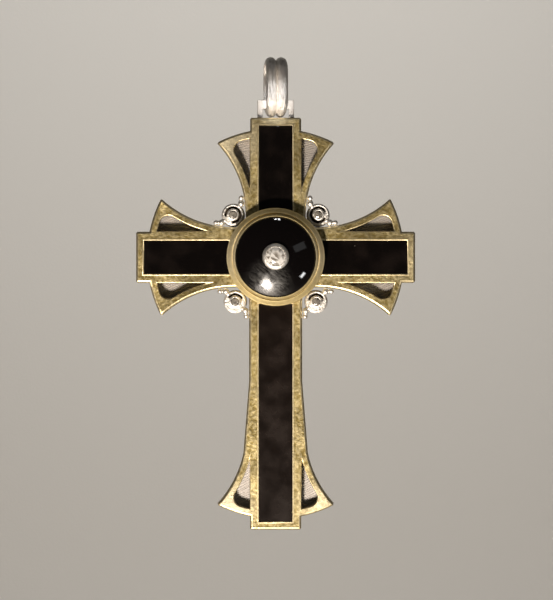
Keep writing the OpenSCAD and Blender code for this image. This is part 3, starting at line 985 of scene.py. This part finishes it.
def centre_setting():
    bm = bmesh.new()
    peg = [(PEG_R, PEG_END), (PEG_R, DOME_TOP - COLLAR_FLOOR * MM)]
    collar = COLLAR_OUTSIDE + COLLAR_RIM + COLLAR_INSIDE
    turned(bm, peg + [(r, DOME_TOP + h * MM) for r, h in collar], COARSE_TURN, closed=False)
    return piece(bm, "centre_collar", [RIM_SILVER], ["centre_setting"])


centre_setting()

# %% [markdown]
# ## The corner settings: a tube in a base
#
# Each corner is a little assembly of its own, soldered from silver: a round base, a tube
# that holds a small diamond, a ring of round wire, and four granules against the arms. The
# tube's rim was filed in eight facets, which is done by drawing its circle in between
# eight corners. Between the tube and the wire is a gap. Solder has filled a part of it,
# a different part at each corner, and the rest is deep and dark, on the side where shade
# falls: tarnish and painted shade.

# %% Shape of the tube and its base
GROOVE_FLOOR = 1.0
SOLDER_TOP = 1.95
# Radius, depth, and how far the circle is drawn in to an octagon
BASE = [(2.6, -1.05, 0.0), (2.65, -1.0, 0.0), (2.65, 1.6, 0.0), (2.3, 1.7, 0.0),
        (2.1, GROOVE_FLOOR, 0.0)]
TUBE = [(1.52, GROOVE_FLOOR, 0.0), (1.52, 2.44, 0.4), (1.53, 2.58, 1.0), (1.49, 2.68, 1.0),
        (1.4, 2.76, 0.6), (1.24, 2.82, 0.2), (1.1, 2.86, 0.0), (1.03, 2.83, 0.0),
        (1.03, 2.79, 0.0), (1.15, 2.72, 0.0)]
POCKET = [(1.15, 2.54, 0.0), (0.44, 1.92, 0.0), (0.44, 1.54, 0.0)]
FACETS = 8
# Where solder fills the gap: its middle, half its length, and how it runs out, in degrees
SOLDER = {"top_left": (228, 42), "top_right": (0, 30), "foot_left": (265, 125),
          "foot_right": (275, 115)}
SOLDER_RUN_OUT = 25


def faceted(angle, share):
    """How far a circle is drawn in at an angle, to give it flat sides."""
    side = 2 * math.pi / FACETS
    within = (angle % side) - side / 2
    return 1 + share * (math.cos(side / 2) / math.cos(within) - 1)


def signed_turn(angle):
    """An angle as the shorter way round, from minus half a turn to half a turn."""
    return (angle + math.pi) % (2 * math.pi) - math.pi


def floor_depth(angle, solder):
    """Depth of the gap's floor: deep and dark, or filled with solder."""
    middle, half = (math.radians(v) for v in solder)
    off = abs(signed_turn(angle - middle))
    share = min(1.0, max(0.0, (half - off) / math.radians(SOLDER_RUN_OUT) + 0.5))
    return GROOVE_FLOOR + (SOLDER_TOP - GROOVE_FLOOR) * share * share * (3 - 2 * share)


# %% Tube in its base
# Faces of the gap lie between these radii and below this depth, unless solder covers them
GAP_FROM_R, GAP_TO_R, GAP_BELOW = 1.45, 2.25, 1.75


def tube_setting(bm, middle, solder):
    """The tube and its base. The gap between them gets the piece's second material."""
    rings = []
    for radius, depth, share in BASE + TUBE + POCKET:
        ring = []
        for angle in round_the_axis(COARSE_TURN):
            r = radius * faceted(angle, share)
            high = floor_depth(angle, solder) if depth == GROOVE_FLOOR else depth
            ring.append(at(middle.x + r * math.cos(angle), high * MM,
                           middle.y + r * math.sin(angle)))
        rings.append(ring)
    skin(bm, rings, closed=False)
    axis = at(middle.x, 0, middle.y)
    for face in bm.faces:
        spot = face.calc_center_median() - axis
        r, depth = math.hypot(spot.x, spot.z) / MM, -spot.y / MM
        # The gap's open faces get the dark silver: tarnish and painted shade
        if GAP_FROM_R < r < GAP_TO_R and depth < GAP_BELOW:
            face.material_index = 1


# %% [markdown]
# ## The corner settings: wire and granules
#
# The ring of wire follows the tube's facets a little, and it thins where its two ends
# meet in a soldered seam. Granules are made by melting snippets of wire on charcoal, so
# they are never perfect spheres, and solder fills the corners where they touch. A smaller
# and flatter ball between two granules stands for that solder.

# %% Ring of wire
WIRE_MIDDLE_R = 2.35
WIRE_R = 0.3
WIRE_FACETS = 0.4
WIRE_DEPTH = 1.7
WIRE_POINTS = 16
SEAM_SHARE, SEAM_WIDTH = 0.4, 0.05


def wire_ring(bm, middle, seam):
    """A ring of round wire that thins where its two ends meet."""
    rings = []
    for angle in round_the_axis(COARSE_TURN):
        thinner = SEAM_SHARE * math.exp(-(signed_turn(angle - seam) / SEAM_WIDTH) ** 2)
        wire = WIRE_R * (1 - thinner)
        ring = []
        for tilt in round_the_axis(WIRE_POINTS):
            r = WIRE_MIDDLE_R * faceted(angle, WIRE_FACETS) + wire * math.cos(tilt)
            ring.append(at(middle.x + r * math.cos(angle),
                           (WIRE_DEPTH + wire * math.sin(tilt)) * MM,
                           middle.y + r * math.sin(angle)))
        rings.append(ring)
    skin(bm, rings)


# %% Granules
BIG_GRAIN, SMALL_GRAIN = 0.85, 0.66
# Radius and place of the solder between two granules, and beside the setting
BRIDGE, BRIDGE_AT = 0.5, 0.55
FILLET, FILLET_IN = 0.56, 0.9
SOLDER_SQUASH = 0.8
GRAIN_DENT, GRAIN_DENT_SIZE = 0.13, 1.1


def granule(bm, spot, r, squash=1.0):
    """A granule: a ball that set a little out of round."""
    middle = at(spot.x, WIRE_DEPTH * MM, spot.y)
    place = Matrix.Translation(middle) @ Matrix.Diagonal((1, squash, 1, 1))
    made = bmesh.ops.create_uvsphere(bm, u_segments=32, v_segments=18, radius=r * MM,
                                     matrix=place)
    for v in made["verts"]:
        out = (v.co - middle).normalized()
        bumpy = 0.5 + 0.5 * noise.noise(v.co / (GRAIN_DENT_SIZE * MM))
        v.co -= out * bumpy * GRAIN_DENT * r * MM


# %% [markdown]
# ## The corner settings: putting one together
#
# The two upper corners mirror each other, and so do the two lower ones, so each pair has
# one layout in millimetres from the centre of the cross. A side of -1 puts it on the left.

# %% Corner settings
UPPER = {"middle": (10.35, 10.3), "big": [(8.38, 13.01), (13.1, 8.38)],
         "small": [(8.35, 14.37), (14.46, 8.37)]}
LOWER = {"middle": (9.85, -10.8), "big": [(7.35, -13.03), (12.12, -8.34)],
         "small": [(7.17, -14.38), (13.48, -8.3)]}
CORNERS = {"top_left": (UPPER, -1), "top_right": (UPPER, 1),
           "foot_left": (LOWER, -1), "foot_right": (LOWER, 1)}
SETTING_CREASE = 21


def corner_setting(corner):
    layout, side = CORNERS[corner]
    bm = bmesh.new()
    middle = Vector((layout["middle"][0] * side, layout["middle"][1]))
    tube_setting(bm, middle, SOLDER[corner])
    wire_ring(bm, middle, seam=math.pi if side < 0 else 0.0)
    for big, small in zip(layout["big"], layout["small"]):
        big, small = Vector((big[0] * side, big[1])), Vector((small[0] * side, small[1]))
        granule(bm, big, BIG_GRAIN)
        granule(bm, small, SMALL_GRAIN)
        inwards = (middle - big).normalized()
        granule(bm, big.lerp(small, BRIDGE_AT), BRIDGE, SOLDER_SQUASH)
        granule(bm, big + inwards * FILLET_IN, FILLET, SOLDER_SQUASH)
    return piece(bm, "corner_setting_worked_" + corner, [RIM_SILVER, TARNISH],
                 ["corner_setting_" + corner], crease=SETTING_CREASE)


for corner in CORNERS:
    corner_setting(corner)

# %% [markdown]
# ## The cut stones
#
# The solids of the diamonds already have their facets: a table, a crown and a pavilion.
# They stay as they are and only get the diamond's material.

# %% Diamonds
cut_stones = {name: node for name, node in nodes.items() if "diamond" in name}
for name, node in cut_stones.items():
    node.data.materials.clear()
    node.data.materials.append(SMALL_DIAMOND if "corner" in name else DIAMOND)
print("cut stones", sorted(cut_stones))

# %% [markdown]
# ## The bail
#
# The bail is a long loop bent from thick silver, with two round ridges along its outside
# and a groove between them. Its section is carried round the loop ring by ring. It gets
# a little narrower at the foot, its outside bows a little from end to end, and it stands
# turned, as a loose bail does. Years of rubbing have taken a few hundredths of a
# millimetre off it here and there, so that light runs unevenly along the ridges.

# %% The bail's section
BAIL_INNER = 2.5
BAIL_OUTER = 4.3
RIDGE_R = 1.4
RIDGE_ASIDE = 1.3
RIDGE_POINTS = 15


def bail_section():
    """The section as a closed list of radius and distance aside, in millimetres."""
    centre = BAIL_OUTER - RIDGE_R
    low = math.pi + math.asin((centre - BAIL_INNER) / RIDGE_R)
    groove = math.acos(RIDGE_ASIDE / RIDGE_R)
    half = []
    for k in range(RIDGE_POINTS):
        angle = low + (groove - low) * k / (RIDGE_POINTS - 1)
        half.append((centre + RIDGE_R * math.sin(angle),
                     -RIDGE_ASIDE + RIDGE_R * math.cos(angle)))
    return half + [(radius, -aside) for radius, aside in half[-2::-1]]


# %% The bail's loop
BAIL_LEG = 6.1
BEND_STEPS, LEG_STEPS = 24, 10


def bail_stations():
    """The height of the section's pivot and its angle, from the crown round to the crown."""
    top, foot = -BAIL_INNER, -BAIL_INNER - BAIL_LEG
    stations = [(top, math.pi * k / BEND_STEPS) for k in range(BEND_STEPS)]
    stations += [(top - BAIL_LEG * k / LEG_STEPS, math.pi) for k in range(LEG_STEPS)]
    stations += [(foot, math.pi + math.pi * k / BEND_STEPS) for k in range(BEND_STEPS)]
    stations += [(top - BAIL_LEG * (1 - k / LEG_STEPS), 2 * math.pi)
                 for k in range(LEG_STEPS)]
    return stations


# %% Bail
BAIL_TURN = math.radians(7)
BAIL_NARROWEST = 0.88
BAIL_BOW = 0.12
BAIL_CREASE = 50
RUBBED_AWAY = 0.06 * MM
RUB_SIZE = 2.2


def bail_ring(height, angle):
    """One ring of the bail, narrower below the hinge and drawn in towards both ends."""
    ring = []
    hinge = -(BAIL_INNER + BAIL_LEG)
    for radius, aside in bail_section():
        up = height + radius * math.sin(angle)
        below = max(0.0, min(1.0, (hinge - up) / BAIL_OUTER))
        narrow = 1 - (1 - BAIL_NARROWEST) * below
        from_middle = (up + BAIL_INNER + BAIL_LEG / 2) / (BAIL_OUTER + BAIL_LEG / 2)
        outside = (radius - BAIL_INNER) / (BAIL_OUTER - BAIL_INNER)
        drawn_in = 1 - BAIL_BOW * outside * from_middle ** 2
        ring.append(Vector((aside * narrow, radius * math.cos(angle) * drawn_in, up)) * MM)
    return ring


def bail():
    bm = bmesh.new()
    skin(bm, [bail_ring(height, angle) for height, angle in bail_stations()])
    for v in bm.verts:
        rubbed = 0.5 + 0.5 * noise.noise(v.co / (RUB_SIZE * MM))
        v.co -= Vector((v.co.x, v.co.y, 0)).normalized() * rubbed * RUBBED_AWAY
    bmesh.ops.rotate(bm, verts=bm.verts, matrix=Matrix.Rotation(BAIL_TURN, 3, "Z"))
    return piece(bm, "ridged_bail", [BRIGHT_SILVER], ["bail"], body="bail",
                 crease=BAIL_CREASE)


bail()

# %% [markdown]
# ## The paper sweep
#
# A pale sheet of paper serves as floor and background. It curves up behind the cross, so
# that no line shows where the floor ends. It is far enough below and behind that the cross
# throws no shadow on it that the camera sees.

# %% Paper sweep
FLOOR = -620 * MM
WALL = 1000 * MM
PAPER_BEND = 400 * MM
PAPER_NEAR, PAPER_TOP, PAPER_HALF_WIDTH = -1.3, 1.4, 1.8
PAPER_STEPS = 25
TOOTH_SIZE, TOOTH_DEPTH = 2.0, 0.1 * MM


def paper():
    material, tree, place = start("paper_pale")
    tooth = add(tree, "ShaderNodeTexNoise", {"Vector": place, "Scale": 1 / TOOTH_SIZE})
    bump = add(tree, "ShaderNodeBump", {"Height": tooth, "Distance": TOOTH_DEPTH})
    return end(material, tree, Base_Color=linear("#DAD7D1"), Roughness=0.9, Normal=bump)


def sweep():
    """A floor that curves up into a wall."""
    profile = [(PAPER_NEAR, FLOOR)]
    for k in range(PAPER_STEPS):
        angle = math.pi / 2 * k / (PAPER_STEPS - 1)
        profile.append((WALL - PAPER_BEND + PAPER_BEND * math.sin(angle),
                        FLOOR + PAPER_BEND - PAPER_BEND * math.cos(angle)))
    profile.append((WALL, PAPER_TOP))
    mesh = bpy.data.meshes.new("paper_sweep")
    points = [(x, y, z) for y, z in profile for x in (-PAPER_HALF_WIDTH, PAPER_HALF_WIDTH)]
    faces = [(2 * k, 2 * k + 1, 2 * k + 3, 2 * k + 2) for k in range(len(profile) - 1)]
    mesh.from_pydata(points, [], faces)
    mesh.polygons.foreach_set("use_smooth", [True] * len(mesh.polygons))
    mesh.materials.append(paper())
    made = bpy.data.objects.new("paper_sweep", mesh)
    bpy.context.scene.collection.objects.link(made)


sweep()

# %% [markdown]
# ## The lights
#
# A round soft light stands in front, below and to the left. It is the key: it lights the
# gold, makes the glow on the dome and throws the shadows upwards in the piercings. Two
# small lamps overhead leave the pair of dots at the dome's top, and two dim panels on the
# right leave its weak reflections. A wash behind the cross lights the paper alone. A spot
# as narrow as a pencil brings up the lower half of the bail, whose bright silver is the
# lightest thing in the photograph; its own mark on the paper hides behind the cross.

# %% Soft lights
WASH_TILT = math.radians(80)


def link(light, place, rotation):
    """Puts a light in the scene."""
    made = bpy.data.objects.new(light.name, light)
    made.location = place
    made.rotation_euler = rotation
    bpy.context.scene.collection.objects.link(made)
    return made


def panel(name, direction, distance, size, watts, colour="#FFFFFF", turn=0):
    """A soft light of a width and height, aimed at the centre of the cross."""
    data = bpy.data.lights.new(name, "AREA")
    data.shape = "ELLIPSE" if size[0] == size[1] else "RECTANGLE"
    data.size, data.size_y = size
    data.energy = watts
    data.color = linear(colour)[:3]
    away = Vector(direction).normalized()
    aim = away.to_track_quat("Z", "Y").to_matrix() @ Matrix.Rotation(math.radians(turn), 3, "Z")
    return link(data, CENTRE + away * distance, aim.to_euler())


panel("key_below_left", (-0.26, -1.0, -0.78), 0.80, (0.12, 0.12), 8.0, "#FFF3E6")
panel("lamp_overhead_left", (0.0, -0.59, 0.81), 0.60, (0.014, 0.012), 0.05)
panel("lamp_overhead_right", (0.07, -0.59, 0.81), 0.60, (0.014, 0.012), 0.05)
panel("card_lower_right", (0.59, -0.71, -0.38), 0.45, (0.028, 0.06), 0.07, turn=-30)
panel("card_right", (0.54, -0.81, 0.24), 0.50, (0.15, 0.08), 0.012, turn=20)
wash = panel("background_wash", (0.0, 0.3, 0.95), 0.60, (0.5, 0.5), 5.0)
# It faces the paper, not the cross
wash.rotation_euler = (WASH_TILT, 0, 0)

# %% Spot on the bail and light all round
SPOT_PLACE = (-0.004, -0.35, 0.02)
SPOT_TARGET = at(0, 0, 38.0)


def spot_on(target, place, degrees, watts):
    """A narrow spotlight."""
    data = bpy.data.lights.new("spot_on_bail", "SPOT")
    data.spot_size = math.radians(degrees)
    data.spot_blend = 0.6
    data.shadow_soft_size = 0.002
    data.energy = watts
    link(data, place, (Vector(place) - target).to_track_quat("Z", "Y").to_euler())


spot_on(SPOT_TARGET, SPOT_PLACE, degrees=1.6, watts=3.0)
world = bpy.context.scene.world or bpy.data.worlds.new("studio")
bpy.context.scene.world = world
world.use_nodes = True
background = world.node_tree.nodes["Background"]
background.inputs["Color"].default_value = linear("#6E6C69")
background.inputs["Strength"].default_value = 0.1
print("lights", sorted(light.name for light in bpy.data.lights))

# %% [markdown]
# ## The camera
#
# The photograph was taken straight from the front. Its 600 pixels of height span about
# 146 mm at the cross, and the centre of the cross lies 42 pixels above the middle of the
# picture. From the distance and that span, the focal length follows.

# %% Camera and colour
VIEW_HEIGHT = 146.3 * MM
VIEW_DISTANCE = 450 * MM
SENSOR = 36.0
AIM_BELOW_CENTRE = 10.4 * MM
AIM_ASIDE = 0.2 * MM

camera_data = bpy.data.cameras.new("camera")
camera_data.sensor_width = SENSOR
camera_data.lens = SENSOR * VIEW_DISTANCE / VIEW_HEIGHT
camera = bpy.data.objects.new("camera", camera_data)
camera.location = (CENTRE.x + AIM_ASIDE, -VIEW_DISTANCE, CENTRE.z - AIM_BELOW_CENTRE)
camera.rotation_euler = (math.pi / 2, 0, 0)
bpy.context.scene.collection.objects.link(camera)
bpy.context.scene.camera = camera
bpy.context.scene.view_settings.view_transform = "Standard"
print("lens", round(camera_data.lens, 1), "mm")
